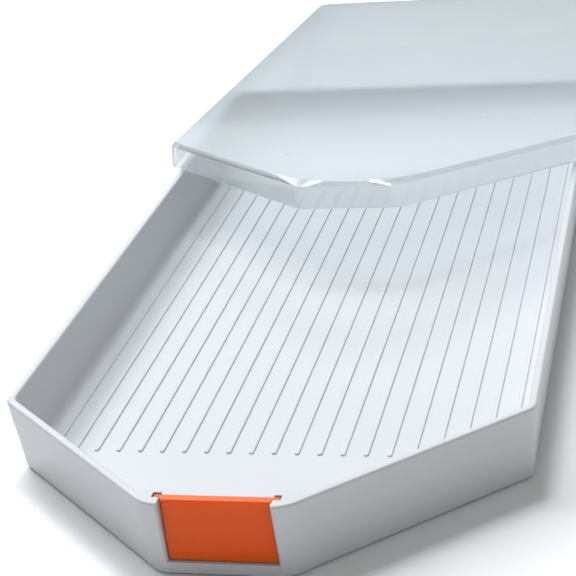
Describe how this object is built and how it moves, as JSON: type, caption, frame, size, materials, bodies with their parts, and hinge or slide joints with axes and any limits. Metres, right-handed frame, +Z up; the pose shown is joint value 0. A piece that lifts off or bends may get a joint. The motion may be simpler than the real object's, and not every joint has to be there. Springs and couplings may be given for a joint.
{
  "type": "pill counting tray",
  "caption": "Open rectangular counting tray with a ribbed floor, a funnel front closed by a sliding gate, and a loose translucent lid pushed back.",
  "frame": {"origin": "centre of the tray's underside", "axes": "+Z up, -Y towards the spout, +X to the right seen from the spout"},
  "size_m": [0.1278, 0.3964, 0.0292],
  "materials": {
    "white_plastic": "satin gloss",
    "orange_plastic": "satin gloss",
    "frosted_plastic": "translucent frosted"
  },
  "bodies": {
    "tray": {"tray_body": "white_plastic"},
    "gate": {"spout_gate": "orange_plastic"},
    "lid": {"lid": "frosted_plastic"}
  },
  "joints": [
    {"name": "gate_slide", "type": "slide", "parent": "tray", "child": "gate", "axis": [0, 0, 1], "range_m": [0, 0.018]},
    {"name": "lid_lift", "type": "slide", "parent": "tray", "child": "lid", "axis": [0, 0, 1], "range_m": [0, 0.12]}
  ]
}
